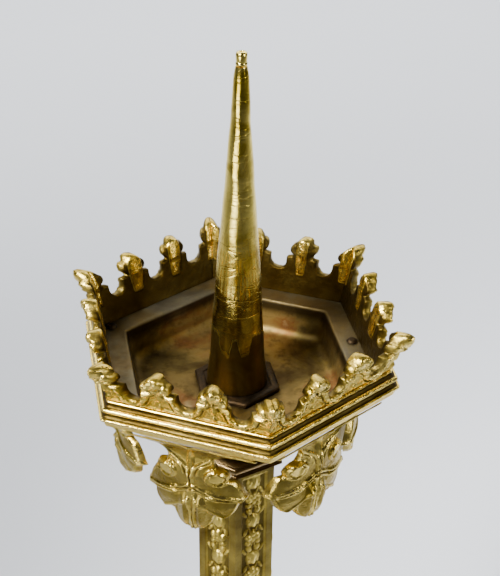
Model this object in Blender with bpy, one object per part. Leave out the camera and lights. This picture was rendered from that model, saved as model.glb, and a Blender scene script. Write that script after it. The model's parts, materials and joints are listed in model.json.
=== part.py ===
"""Gothic-revival altar pricket candlestick in gilt brass.

A stack of hexagonal castings is threaded on one tie rod: plinth, dome, collar, stem, knop, stem, abacus and
neck. On top sits a turnable head: a hexagonal drip pan in a moulded rim, with a cresting of fleurons round it
and six vine leaves hanging under it. The hollow pricket screws on the end of the rod and clamps the head.

Metres, +Z up. The origin is on the ground in the middle of the foot, and the stem's arris points to -Y.
"""

import math

import bmesh
import bpy
from mathutils import Matrix

MM = 0.001
HEX = 6
CORNER = 1 / math.cos(math.pi / HEX)  # corner radius of a hexagon over its apothem
GAP = 0.3 * MM  # between pieces that touch on the real object

# Driving dimensions
LIP_HEIGHT = 372 * MM  # ground to the bottom lip of the head's rim
LIP_APOTHEM = 54 * MM  # half the head's width across its flats
PRICKET_TOP = 118 * MM  # tip of the pricket above the lip
STEM_APOTHEM = 14.8 * MM
KNOP_APOTHEM = 31 * MM
PLINTH_APOTHEM = 74 * MM
HEAD_TURN = math.radians(11.4)  # how far the head stands turned from the stem

# The tie rod and what runs on it
ROD_RADIUS = 4 * MM
ROD_BOTTOM = 0.9 * MM
ROD_IN_PRICKET = 32 * MM  # above the seat washer
BORE_APOTHEM = ROD_RADIUS + 0.8 * MM

# Foot
FOOT_HEIGHT = 10 * MM
FOOT_RADIUS = 8.4 * MM
FOOT_INSET = 11.5 * MM  # from the plinth's corner to the foot's middle
STUD_RADIUS = 2 * MM
PLINTH_HEIGHT = 32 * MM
PLINTH_FLANGE = 3 * MM
PLINTH_BAND = 8 * MM  # the upright band stands this far inside the bottom edge
CLOSING_PLATE = 2.2 * MM
CLOSING_PLATE_LAP = 20 * MM  # from the plinth's edge to the closing plate's edge
DOME_HEIGHT = 50 * MM
COLLAR_HEIGHT = 6 * MM
COLLAR_OVERHANG = 4.2 * MM
WALL = 3 * MM
LOWER_STEM_LENGTH = 78 * MM
KNOP_HEIGHT = 32 * MM
KNOP_BAND = 12 * MM
BOSS_SIDE = 10 * MM
BOSS_PROUD = 5.5 * MM

# Head, as heights above and below the lip
ABACUS_HEIGHT = 7.5 * MM
ABACUS_DEPTH = 46 * MM  # lip to the underside of the abacus
ABACUS_OVERHANG = 4 * MM
MOULDING_TOP = 5.6 * MM
MOULDING_WIDTH = 3.4 * MM
FLANGE_TOP = -2.8 * MM
FLANGE_THICKNESS = 1.7 * MM
FLANGE_INNER = LIP_APOTHEM - 12.7 * MM
PAN_SHEET = 1.5 * MM
PAN_WALL_TOP = FLANGE_INNER - PAN_SHEET - 0.5 * MM  # apothem of the recess at the ledge
PAN_WALL_FOOT = PAN_WALL_TOP - 1.7 * MM
PAN_DEPTH = 13.5 * MM  # ledge to floor
PAN_LEDGE = FLANGE_TOP + GAP + PAN_SHEET
SOFFIT_FLANGE_INNER = FLANGE_INNER + 0.7 * MM
SOFFIT_FLANGE = 1.2 * MM
SOFFIT_WALL = 2.1 * MM  # measured level
SOFFIT_LIP = 1 * MM  # under the pan's floor
SOFFIT_TOP = FLANGE_TOP - FLANGE_THICKNESS - GAP
SOFFIT_TOP_APOTHEM = LIP_APOTHEM - 2.2 * MM
SOFFIT_FOOT = PAN_LEDGE - PAN_DEPTH - PAN_SHEET - GAP - SOFFIT_LIP
SOFFIT_FOOT_APOTHEM = PAN_WALL_FOOT + PAN_SHEET + 1.1 * MM
SOFFIT_SLOPE = (SOFFIT_TOP_APOTHEM - SOFFIT_FOOT_APOTHEM) / (SOFFIT_TOP - SOFFIT_FOOT)  # run over drop
PRICKET_FOOT_RADIUS = 11.4 * MM
WASHER_APOTHEM = PRICKET_FOOT_RADIUS + 3.4 * MM
WASHER_THICKNESS = 1.8 * MM
WASHER_RECESS = 0.5 * MM  # the pricket's foot stands in it
PRICKET_WALL = 1.1 * MM
TIP_RADIUS = 1.95 * MM
TIP_LENGTH = 5 * MM

GALLERY_THICKNESS = 2.4 * MM
GALLERY_LEAN = 0.17  # outward run over rise
CORNER_FLARE = 2.4 * MM  # how far the corner fleurons' tips bend out beyond that
FLEURONS_PER_SIDE = 3
FLEURON_TOP = 22 * MM
NOTCH_BOTTOM = 9 * MM
NOTCH_HALF_WIDTH = 4.2 * MM

LEAF_TOP = SOFFIT_TOP - 1.4 * MM
LEAF_TIP = -50.2 * MM
LEAF_REACH = LIP_APOTHEM - 8 * MM  # axis to the crown of a hanging leaf
LEAF_MIDDLE = -30 * MM  # the height that this reach is at
LEAF_LEAN = 0.043  # outward run over rise
LEAF_SPAN = 0.392 * LEAF_REACH  # half width at the side lobes
LEAF_CURL = 6.5 * MM  # how far the side lobes fall back
LEAF_TIP_CURL = 1.5 * MM
LEAF_THICKNESS = 2.6 * MM  # measured level
LEAF_CLEARANCE = 0.45 * MM  # level, from the soffit it lies on
RIVET_RADIUS = 1.2 * MM
RIVET_REACH = SOFFIT_TOP_APOTHEM - 5.8 * MM
RIVET_INSIDE = 1.9 * MM  # up from the soffit's outer face, through its wall
RIVET_OUTSIDE = 1.5 * MM  # down from there into the leaf
SCREW_RADIUS = 1.2 * MM
SCREW_HEAD_RADIUS = 2.3 * MM
SCREW_APOTHEM = LIP_APOTHEM - 9.65 * MM
# Degrees in the head's frame, and radius
SCREW_PLACES = ((150, SCREW_APOTHEM * CORNER), (0, SCREW_APOTHEM), (-90, SCREW_APOTHEM * CORNER))

BRASS = ("gilt_brass", (0.72, 0.49, 0.14), 0.22, 1.0)
PATINA = ("pan_patina", (0.26, 0.16, 0.07), 0.45, 1.0)
IRON = ("dark_iron", (0.045, 0.035, 0.03), 0.55, 1.0)


def clear_scene():
    for obj in list(bpy.data.objects):
        bpy.data.objects.remove(obj, do_unlink=True)


def material(spec):
    name, colour, roughness, metallic = spec
    found = bpy.data.materials.get(name)
    if found:
        return found
    made = bpy.data.materials.new(name)
    made.use_nodes = True
    shader = made.node_tree.nodes["Principled BSDF"]
    shader.inputs["Base Color"].default_value = (*colour, 1)
    shader.inputs["Roughness"].default_value = roughness
    shader.inputs["Metallic"].default_value = metallic
    return made


def link(name, mesh, finish, parent=None):
    obj = bpy.data.objects.new(name, mesh)
    bpy.context.scene.collection.objects.link(obj)
    obj.parent = parent
    if finish:
        mesh.materials.append(material(finish))
    return obj


def face_outwards(shape):
    bmesh.ops.recalc_face_normals(shape, faces=shape.faces)
    if shape.calc_volume(signed=True) < 0:
        bmesh.ops.reverse_faces(shape, faces=shape.faces)


def empty(name, z=0, turn=0, parent=None):
    """A helper frame on the axis, which pieces are parented to."""
    obj = bpy.data.objects.new(name, None)
    bpy.context.scene.collection.objects.link(obj)
    obj.location.z = z
    obj.rotation_euler.z = turn
    obj.parent = parent
    return obj


def arc(cx, cz, radius, start, end, steps, flat=1):
    """Points of an arc in the profile plane, angles in degrees, its height scaled by flat."""
    angles = [math.radians(start + (end - start) * i / steps) for i in range(steps + 1)]
    return [(cx + radius * math.cos(a), cz + flat * radius * math.sin(a)) for a in angles]


def turned(name, profile, finish, steps, closed=True, parent=None, z=0):
    """A profile of (radius, height), run down its outer side, turned about Z by a Screw modifier."""
    mesh = bpy.data.meshes.new(name)
    shape = bmesh.new()
    points = [shape.verts.new((radius, 0, height)) for radius, height in profile]
    for first, second in zip(points, points[1:]):
        shape.edges.new((first, second))
    if closed:
        shape.edges.new((points[-1], points[0]))
    shape.to_mesh(mesh)
    shape.free()
    obj = link(name, mesh, finish, parent)
    obj.location.z = z
    screw = obj.modifiers.new("Turn", "SCREW")
    screw.steps = screw.render_steps = steps
    screw.use_merge_vertices = True
    screw.merge_threshold = 1e-6
    screw.use_smooth_shade = False
    return obj


def hexagonal(name, profile, finish=BRASS, parent=None, z=0):
    """A profile of (apothem, height) run round a hexagon, its corners at -Y and every 60 degrees."""
    obj = turned(name, [(a * CORNER, h) for a, h in profile], finish, HEX, parent=parent, z=z)
    obj.rotation_euler.z = math.radians(-90)
    return obj


def bored(outer, bore, bottom, top):
    """Closes an outer profile, given top to bottom, with a straight bore up the middle."""
    return [(bore, top), *outer, (bore, bottom)]


def drill(obj, places, radius, bottom, top):
    """Drills round holes at (x, y) places in the object's parent frame, between two heights."""
    mesh = bpy.data.meshes.new(f"{obj.name}_drill")
    shape = bmesh.new()
    off_seam = Matrix.Rotation(math.radians(7), 3, "Z")  # no edge of a hole meets an arris of the hexagon
    for x, y in places:
        made = bmesh.ops.create_cone(
            shape, cap_ends=True, segments=12, radius1=radius, radius2=radius, depth=top - bottom
        )
        bmesh.ops.rotate(shape, verts=made["verts"], matrix=off_seam)
        bmesh.ops.translate(shape, verts=made["verts"], vec=(x, y, (top + bottom) / 2))
    shape.to_mesh(mesh)
    shape.free()
    cutter = link(f"{obj.name}_drill", mesh, None, obj.parent)
    cutter.hide_render = True
    cutter.display_type = "WIRE"
    cut = obj.modifiers.new("Drill", "BOOLEAN")
    cut.operation = "DIFFERENCE"
    cut.object = cutter


def around(radius, first_degrees, count=HEX):
    """Points on a circle."""
    angles = [math.radians(first_degrees + 360 * i / count) for i in range(count)]
    return [(radius * math.cos(a), radius * math.sin(a)) for a in angles]


# --- The foot ---


def make_plinth():
    bottom = FOOT_HEIGHT
    top = bottom + PLINTH_HEIGHT
    band = PLINTH_APOTHEM - PLINTH_BAND
    outer = [
        (band - 4 * MM, top),
        (band - 1 * MM, top - 1.5 * MM),
        *arc(band - 1 * MM, top - 3.5 * MM, 2 * MM, 90, -60, 5),
        (band, top - 6.5 * MM),
        (band, bottom + 11 * MM),
        *arc(PLINTH_APOTHEM - 2 * MM, bottom + 11 * MM, 6 * MM, 180, 270, 5),
        (PLINTH_APOTHEM, bottom + 4.2 * MM),
        (PLINTH_APOTHEM, bottom),
    ]
    inside = [
        (PLINTH_APOTHEM - 28 * MM, bottom),
        (PLINTH_APOTHEM - 28 * MM, bottom + PLINTH_FLANGE),
        (band - WALL, bottom + PLINTH_FLANGE),
        (band - WALL, top - WALL),
        (band - 12 * MM, top - WALL),
        (band - 12 * MM, top),
    ]
    plinth = hexagonal("base_plinth", outer + inside)
    drill(plinth, foot_places(), STUD_RADIUS + GAP, bottom - WALL, bottom + 2 * PLINTH_FLANGE)
    return top


def foot_places():
    return around(PLINTH_APOTHEM * CORNER - FOOT_INSET, -90)


def make_feet():
    profile = [
        (0, FOOT_HEIGHT + PLINTH_FLANGE - GAP),
        (STUD_RADIUS, FOOT_HEIGHT + PLINTH_FLANGE - GAP),
        (STUD_RADIUS, FOOT_HEIGHT - GAP),
        (0.7 * FOOT_RADIUS, FOOT_HEIGHT - GAP),
        (0.62 * FOOT_RADIUS, 0.82 * FOOT_HEIGHT),
        (FOOT_RADIUS, 0.46 * FOOT_HEIGHT),
        (0.65 * FOOT_RADIUS, 0),
        (0, 0),
    ]
    for number, (x, y) in enumerate(foot_places(), 1):
        foot = turned(f"foot_{number}", profile, BRASS, 12, closed=False)
        foot.location.x = x
        foot.location.y = y


def make_closing_plate():
    top = FOOT_HEIGHT - GAP
    bottom = top - CLOSING_PLATE
    edge = PLINTH_APOTHEM - CLOSING_PLATE_LAP
    hexagonal("closing_plate", bored([(edge, top), (edge, bottom)], BORE_APOTHEM, bottom, top), IRON)
    washer_top = bottom - GAP
    washer_bottom = washer_top - 1.2 * MM
    washer = [(12 * MM, washer_top), (12 * MM, washer_bottom)]
    turned("tie_washer", bored(washer, ROD_RADIUS + 0.4 * MM, washer_bottom, washer_top), IRON, 20)
    nut_top = washer_bottom - GAP
    nut_bottom = ROD_BOTTOM + 0.4 * MM
    nut = [(6.5 * MM, nut_top), (6.5 * MM, nut_bottom)]
    hexagonal("tie_nut", bored(nut, ROD_RADIUS + GAP, nut_bottom, nut_top), IRON)


def make_dome(bottom):
    """A hexagonal spire that sweeps in from the plinth to the stem."""
    low = bottom + GAP
    top = low + DOME_HEIGHT
    foot = PLINTH_APOTHEM - PLINTH_BAND - 6 * MM
    waist = STEM_APOTHEM + 5 * MM
    sweep_low = low + 5 * MM
    rise = top - 5 * MM - sweep_low
    steps = 9
    sweep = []
    for i in range(steps + 1):
        angle = math.pi / 2 * i / steps
        apothem = foot - 2 * MM - (foot - 2 * MM - waist) * math.sin(angle)
        sweep.append((apothem, sweep_low + rise * (1 - math.cos(angle))))
    outer = [
        (waist - 2 * MM, top),
        (waist + 1.5 * MM, top - 1 * MM),
        (waist + 1.5 * MM, top - 3.5 * MM),
        *reversed(sweep),
        (foot, sweep_low - 1.5 * MM),
        (foot, low),
    ]
    inside = [
        (foot - 2 * WALL, low),
        (foot - 2 * WALL - 8 * MM, sweep_low),
        (waist + 8 * MM - WALL, sweep_low + 0.25 * rise),
        (waist - WALL - 1 * MM, sweep_low + 0.7 * rise),
        (waist - WALL - 1 * MM, top - WALL),
        (BORE_APOTHEM, top - WALL),
        (BORE_APOTHEM, top),
    ]
    hexagonal("base_dome", outer + inside)
    return top


# --- The stem ---


def make_collar(name, bottom):
    """A hexagonal ring with a torus between two fillets."""
    low = bottom + GAP
    top = low + COLLAR_HEIGHT
    reach = STEM_APOTHEM + COLLAR_OVERHANG
    middle = (low + top) / 2
    outer = [
        (reach - 2.4 * MM, top),
        (reach - 2.4 * MM, top - 0.9 * MM),
        *arc(reach - 2 * MM, middle, 2 * MM, 80, -80, 6),
        (reach - 2.4 * MM, low + 0.9 * MM),
        (reach - 2.4 * MM, low),
    ]
    hexagonal(name, bored(outer, BORE_APOTHEM, low, top))
    return top


def make_stem(name, bottom, top):
    """A hexagonal tube. Its six faces carry the ornament."""
    low = bottom + GAP
    inner = STEM_APOTHEM - WALL
    hexagonal(name, [(inner, top), (STEM_APOTHEM, top), (STEM_APOTHEM, low), (inner, low)])


def make_knop(bottom):
    low = bottom + GAP
    top = low + KNOP_HEIGHT
    middle = (low + top) / 2
    neck = STEM_APOTHEM + 1 * MM
    shoulder = (neck + KNOP_APOTHEM) / 2
    outer = [
        (neck, top),
        (neck + 2 * MM, top - 1.6 * MM),
        (shoulder, top - 6 * MM),
        (KNOP_APOTHEM - 2 * MM, middle + KNOP_BAND / 2 + 1.2 * MM),
        (KNOP_APOTHEM, middle + KNOP_BAND / 2),
        (KNOP_APOTHEM, middle - KNOP_BAND / 2),
        (KNOP_APOTHEM - 2 * MM, middle - KNOP_BAND / 2 - 1.2 * MM),
        (shoulder, low + 6 * MM),
        (neck + 2 * MM, low + 1.6 * MM),
        (neck, low),
    ]
    hexagonal("knop", bored(outer, BORE_APOTHEM, low, top))
    for number in range(HEX):
        make_boss(number, middle)
    return top


def make_boss(number, height):
    """A square stud set on its corner, on one flat of the knop."""
    name = f"knop_boss_{number + 1}"
    mesh = bpy.data.meshes.new(name)
    shape = bmesh.new()
    bmesh.ops.create_cube(shape, size=1)
    bmesh.ops.scale(shape, verts=shape.verts, vec=(BOSS_PROUD, BOSS_SIDE, BOSS_SIDE))
    bmesh.ops.rotate(shape, verts=shape.verts, matrix=Matrix.Rotation(math.radians(45), 3, "X"))
    front = [v for v in shape.verts if v.co.x > 0]
    bmesh.ops.scale(shape, verts=front, vec=(1, 0.72, 0.72))
    shape.to_mesh(mesh)
    shape.free()
    boss = link(name, mesh, BRASS)
    angle = math.radians(-60 + 60 * number)
    reach = KNOP_APOTHEM + GAP + BOSS_PROUD / 2
    boss.location = (reach * math.cos(angle), reach * math.sin(angle), height)
    boss.rotation_euler.z = angle


def make_abacus():
    """The moulded hexagonal cap on the stem."""
    low = LIP_HEIGHT - ABACUS_DEPTH
    top = low + ABACUS_HEIGHT
    reach = STEM_APOTHEM + ABACUS_OVERHANG
    outer = [
        (reach - 2.6 * MM, top),
        (reach - 0.6 * MM, top - 0.9 * MM),
        *arc(reach - 1.5 * MM, top - 2.7 * MM, 1.6 * MM, 70, -70, 6),
        (reach - 2.2 * MM, low + 2.6 * MM),
        *arc(reach - 0.2 * MM, low + 2.6 * MM, 2 * MM, 180, 250, 4),
        (reach - 2.6 * MM, low),
    ]
    hexagonal("abacus", bored(outer, BORE_APOTHEM, low, top))
    return top


def make_neck(bottom, top):
    """The spacer that carries the pan above the abacus."""
    low = bottom + GAP
    high = top - GAP
    middle = (low + high) / 2
    outer = [
        (11.5 * MM, high),
        (11.5 * MM, high - 2 * MM),
        (9 * MM, high - 3.4 * MM),
        (8.4 * MM, middle),
        (9 * MM, low + 3.4 * MM),
        (12.5 * MM, low + 2 * MM),
        (12.5 * MM, low),
    ]
    hexagonal("neck", bored(outer, BORE_APOTHEM, low, high))


def make_tie_rod(top):
    chamfer = 0.6 * MM
    profile = [
        (0, top),
        (ROD_RADIUS - chamfer, top),
        (ROD_RADIUS, top - chamfer),
        (ROD_RADIUS, ROD_BOTTOM),
        (0, ROD_BOTTOM),
    ]
    turned("tie_rod", profile, IRON, 16, closed=False)


# --- The head ---


def make_rim(head):
    """The moulded band, with the flange inside it that carries the pan."""
    top = LIP_APOTHEM - MOULDING_WIDTH
    outer = [
        (top, MOULDING_TOP),
        (top + 0.5 * MM, MOULDING_TOP),
        (top + 0.5 * MM, MOULDING_TOP - 0.9 * MM),
        *arc(top + 1.5 * MM, MOULDING_TOP - 1.3 * MM, 1.3 * MM, 165, 270, 5),
        *arc(top + 1.5 * MM, MOULDING_TOP - 3.5 * MM, 0.85 * MM, 80, -80, 6),
        *arc(top + 2.9 * MM, 0.5 * MM, 1.2 * MM, 150, 262, 5),
        (LIP_APOTHEM, -0.55 * MM),
        (LIP_APOTHEM, -1.5 * MM),
        (LIP_APOTHEM - 0.9 * MM, -1.9 * MM),
        (LIP_APOTHEM - 1.2 * MM, -2.7 * MM),
        (SOFFIT_TOP_APOTHEM + GAP, FLANGE_TOP - FLANGE_THICKNESS),
        (FLANGE_INNER, FLANGE_TOP - FLANGE_THICKNESS),
        (FLANGE_INNER, FLANGE_TOP),
        (top, FLANGE_TOP),
    ]
    rim = hexagonal("rim_moulding", outer, parent=head)
    drill(rim, screw_places(), SCREW_RADIUS + GAP, SOFFIT_TOP, FLANGE_TOP + PAN_SHEET / 2)


def screw_places():
    return [around(radius, degrees, 1)[0] for degrees, radius in SCREW_PLACES]


def soffit_apothem(height):
    """The soffit's outer face at a height."""
    return SOFFIT_TOP_APOTHEM - SOFFIT_SLOPE * (SOFFIT_TOP - height)


def make_soffit(head):
    """The sloping underside of the head, from the rim's flange down to a lip under the pan's floor."""
    under_flange = SOFFIT_TOP - SOFFIT_FLANGE
    lip_top = SOFFIT_FOOT + SOFFIT_LIP
    profile = [
        (SOFFIT_TOP_APOTHEM, SOFFIT_TOP),
        (SOFFIT_FOOT_APOTHEM, SOFFIT_FOOT),
        (SOFFIT_FOOT_APOTHEM - 2 * SOFFIT_LIP, SOFFIT_FOOT),
        (SOFFIT_FOOT_APOTHEM - 2 * SOFFIT_LIP, lip_top),
        (soffit_apothem(lip_top) - SOFFIT_WALL, lip_top),
        (soffit_apothem(under_flange) - SOFFIT_WALL, under_flange),
        (SOFFIT_FLANGE_INNER, under_flange),
        (SOFFIT_FLANGE_INNER, SOFFIT_TOP),
    ]
    soffit = hexagonal("pan_soffit", profile, parent=head)
    drill(soffit, screw_places(), SCREW_RADIUS + GAP, under_flange - GAP, SOFFIT_TOP + GAP)
    for number in range(HEX):
        drill_for_rivet(soffit, number, head)


def make_pan(head):
    """The drip pan: a ledge round a hexagonal recess, pressed from one sheet."""
    ledge = PAN_LEDGE
    edge = LIP_APOTHEM - MOULDING_WIDTH - 0.4 * MM
    floor = ledge - PAN_DEPTH
    round_over = 1 * MM
    profile = [
        (PAN_WALL_TOP + round_over, ledge),
        (edge, ledge),
        (edge, ledge - PAN_SHEET),
        (PAN_WALL_TOP + PAN_SHEET, ledge - PAN_SHEET),
        (PAN_WALL_FOOT + PAN_SHEET, floor - PAN_SHEET + round_over),
        (PAN_WALL_FOOT, floor - PAN_SHEET),
        (BORE_APOTHEM, floor - PAN_SHEET),
        (BORE_APOTHEM, floor),
        (PAN_WALL_FOOT - 2 * round_over, floor),
        (PAN_WALL_FOOT, floor + 2 * round_over),
        (PAN_WALL_TOP, ledge - round_over),
    ]
    pan = hexagonal("drip_pan", profile, PATINA, head)
    drill(pan, screw_places(), SCREW_RADIUS + GAP, ledge - 2 * PAN_SHEET, ledge + PAN_SHEET)
    make_pan_screws(head, ledge)
    return floor


def make_pan_screws(head, ledge):
    low = SOFFIT_TOP - SOFFIT_FLANGE
    seat = ledge + GAP
    profile = [
        (0, seat + 1.1 * MM),
        (0.6 * SCREW_HEAD_RADIUS, seat + 0.9 * MM),
        (SCREW_HEAD_RADIUS, seat),
        (SCREW_RADIUS, seat),
        (SCREW_RADIUS, low),
        (0, low),
    ]
    for number, (x, y) in enumerate(screw_places(), 1):
        screw = turned(f"pan_screw_{number}", profile, IRON, 10, closed=False, parent=head)
        screw.location.x = x
        screw.location.y = y


def fleuron_half(pitch):
    """Right half of one fleuron and half of the notch beside it, from the tip down to the notch's bottom."""
    notch_depth = 3.6 * MM
    flatten = notch_depth / NOTCH_HALF_WIDTH
    return [
        *arc(0, 19.4 * MM, 2.6 * MM, 90, 12, 3),
        *arc(3.6 * MM, 17.7 * MM, 1.9 * MM, 82, -70, 4),
        (3.4 * MM, 15 * MM),
        (3.8 * MM, 14.2 * MM),
        (5 * MM, 13.9 * MM),
        (pitch / 2 - NOTCH_HALF_WIDTH, 13 * MM),
        *arc(pitch / 2, NOTCH_BOTTOM + notch_depth, NOTCH_HALF_WIDTH, 180, 270, 5, flatten),
    ]


def gallery_outline(side):
    """Top edge of one panel from corner to corner, then its foot, as (along, height)."""
    pitch = side / FLEURONS_PER_SIDE
    half = fleuron_half(pitch)
    top = []
    for bay in range(FLEURONS_PER_SIDE):
        left = -side / 2 + bay * pitch
        top += [(left + x, z) for x, z in half]
        top += [(left + pitch - x, z) for x, z in reversed(half[:-1])]
    top = [point for i, point in enumerate(top) if i == 0 or math.dist(point, top[i - 1]) > 1e-6]
    foot = FLANGE_TOP + PAN_SHEET + 2 * GAP
    return [*top, (side / 2, foot), (-side / 2, foot)]


def corner_flare(share, height):
    """Extra reach of a corner fleuron. The share runs from -0.5 to 0.5 along the panel."""
    nearness = max(0, abs(share) - 0.33) / 0.17
    rise = max(0, height - MOULDING_TOP) / (FLEURON_TOP - MOULDING_TOP)
    return CORNER_FLARE * nearness**2 * rise


def slice_through(shape, point, normal):
    """Cuts new edges where a plane crosses the shape, and removes nothing."""
    geometry = [*shape.verts, *shape.edges, *shape.faces]
    bmesh.ops.bisect_plane(shape, geom=geometry, dist=1e-7, plane_co=point, plane_no=normal)


def make_gallery(head):
    """Six leaning panels, mitred at the corners through the middle of a fleuron."""
    base = LIP_APOTHEM - MOULDING_WIDTH - GAP
    side = 2 * base * math.tan(math.pi / HEX)
    outline = gallery_outline(side)
    for number in range(HEX):
        angle = math.radians(-60 + 60 * number)
        name = f"gallery_panel_{number + 1}"
        mesh = bpy.data.meshes.new(name)
        shape = bmesh.new()
        front = shape.faces.new([shape.verts.new((1, s, z)) for s, z in outline])
        back = bmesh.ops.extrude_face_region(shape, geom=[front])
        moved = [v for v in back["geom"] if isinstance(v, bmesh.types.BMVert)]
        bmesh.ops.translate(shape, verts=moved, vec=(-1, 0, 0))
        for share in (-0.41, -0.33, 0.33, 0.41):
            slice_through(shape, (0, share * side, 0), (0, 1, 0))
        slice_through(shape, (0, 0, MOULDING_TOP), (0, 0, 1))
        for v in shape.verts:
            apothem = base + GALLERY_LEAN * (v.co.z - MOULDING_TOP) + corner_flare(v.co.y / side, v.co.z)
            apothem -= GALLERY_THICKNESS * (1 - v.co.x)
            along = v.co.y * apothem / base * (1 - GAP / side)
            v.co.x = apothem * math.cos(angle) - along * math.sin(angle)
            v.co.y = apothem * math.sin(angle) + along * math.cos(angle)
        face_outwards(shape)
        shape.to_mesh(mesh)
        shape.free()
        link(name, mesh, BRASS, head)


# Half width of a leaf down its height, as shares of its span and of the way from its top to its tip
LEAF_WIDTHS = (
    (0, 1.33),
    (0.018, 1.1),
    (0.041, 0.8),
    (0.073, 0.6),
    (0.12, 0.47),
    (0.177, 0.42),
    (0.245, 0.45),
    (0.298, 0.55),
    (0.38, 0.66),
    (0.493, 0.8),
    (0.584, 0.95),
    (0.641, 1),
    (0.698, 0.9),
    (0.768, 0.76),
    (0.818, 0.62),
    (0.845, 0.36),
    (0.905, 0.29),
    (0.955, 0.18),
    (1, 0.05),
)


def leaf_reach(share, height):
    """Axis to the crown of a leaf's outer face: it lies on the soffit, hangs, and curls in at its tip."""
    lying = soffit_apothem(height) + LEAF_CLEARANCE + LEAF_THICKNESS
    hanging = LEAF_REACH + LEAF_LEAN * (height - LEAF_MIDDLE)
    tip = LEAF_TIP_CURL * max(0, share - 0.7) / 0.3
    return max(lying, hanging) - tip


def make_leaves(head):
    """Six vine leaves, each one casting whose two arms lie on the soffit."""
    columns = 7
    for number in range(HEX):
        angle = math.radians(-60 + 60 * number)
        name = f"leaf_{number + 1}"
        mesh = bpy.data.meshes.new(name)
        shape = bmesh.new()
        skins = {}
        for skin in (0, 1):
            for row, (share, width) in enumerate(LEAF_WIDTHS):
                height = LEAF_TOP - share * (LEAF_TOP - LEAF_TIP)
                curl = LEAF_CURL * min(1, max(0, (share - 0.2) / 0.25))
                for column in range(columns):
                    along = (2 * column / (columns - 1) - 1) * width * LEAF_SPAN
                    reach = leaf_reach(share, height) - curl * (along / LEAF_SPAN) ** 2
                    reach -= skin * LEAF_THICKNESS
                    skins[skin, row, column] = shape.verts.new(
                        (
                            reach * math.cos(angle) - along * math.sin(angle),
                            reach * math.sin(angle) + along * math.cos(angle),
                            height,
                        )
                    )
        rows = len(LEAF_WIDTHS)
        border = (
            [(0, c) for c in range(columns)]
            + [(r, columns - 1) for r in range(1, rows)]
            + [(rows - 1, c) for c in range(columns - 2, -1, -1)]
            + [(r, 0) for r in range(rows - 2, 0, -1)]
        )
        for skin in (0, 1):
            for r in range(rows - 1):
                for c in range(columns - 1):
                    shape.faces.new([skins[skin, r + i, c + j] for i, j in ((0, 0), (0, 1), (1, 1), (1, 0))])
        for (r0, c0), (r1, c1) in zip(border, border[1:] + border[:1]):
            shape.faces.new((skins[0, r0, c0], skins[0, r1, c1], skins[1, r1, c1], skins[1, r0, c0]))
        face_outwards(shape)
        shape.to_mesh(mesh)
        shape.free()
        leaf = link(name, mesh, BRASS, head)
        drill_for_rivet(leaf, number, head)
        make_leaf_rivet(number, head)


def place_rivet(obj, number):
    """Sets an object on the soffit's outer face above a leaf, its +Z along the face's normal."""
    angle = math.radians(-60 + 60 * number)
    height = SOFFIT_TOP - (SOFFIT_TOP_APOTHEM - RIVET_REACH) / SOFFIT_SLOPE
    obj.location = (RIVET_REACH * math.cos(angle), RIVET_REACH * math.sin(angle), height)
    obj.rotation_euler = (0, math.pi / 2 + math.atan(SOFFIT_SLOPE), angle)


def drill_for_rivet(obj, number, head):
    drill(obj, [(0, 0)], RIVET_RADIUS + GAP, -RIVET_INSIDE - WALL / 2, RIVET_OUTSIDE + GAP)
    cutter = obj.modifiers[-1].object
    cutter.parent = head
    place_rivet(cutter, number)


def make_leaf_rivet(number, head):
    profile = [
        (0, RIVET_OUTSIDE),
        (RIVET_RADIUS, RIVET_OUTSIDE),
        (RIVET_RADIUS, -RIVET_INSIDE),
        (0, -RIVET_INSIDE),
    ]
    rivet = turned(f"leaf_rivet_{number + 1}", profile, IRON, 10, closed=False, parent=head)
    place_rivet(rivet, number)


def make_seat_washer(floor):
    """The dark hexagonal washer that the pricket clamps the pan with."""
    low = floor + GAP
    top = low + WASHER_THICKNESS
    seat = top - WASHER_RECESS
    recess = PRICKET_FOOT_RADIUS + 0.5 * MM
    outer = [
        (recess, seat),
        (recess, top),
        (WASHER_APOTHEM - 0.5 * MM, top),
        (WASHER_APOTHEM, top - 0.5 * MM),
        (WASHER_APOTHEM, low),
    ]
    washer = hexagonal("seat_washer", bored(outer, BORE_APOTHEM, low, seat), IRON)
    washer.rotation_euler.z += HEAD_TURN
    return seat


# Outer radius of the pricket's cone up its length, as shares of its height and of its foot radius
PRICKET_TAPER = (
    (0, 1),
    (0.033, 0.956),
    (0.097, 0.895),
    (0.185, 0.833),
    (0.33, 0.741),
    (0.535, 0.583),
    (0.696, 0.434),
    (0.792, 0.351),
    (0.888, 0.289),
    (0.955, 0.237),
    (1, 0.171),
)


def pricket_radius(share):
    for (low, wide), (high, narrow) in zip(PRICKET_TAPER, PRICKET_TAPER[1:]):
        if share <= high:
            return PRICKET_FOOT_RADIUS * (wide + (narrow - wide) * (share - low) / (high - low))


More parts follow.
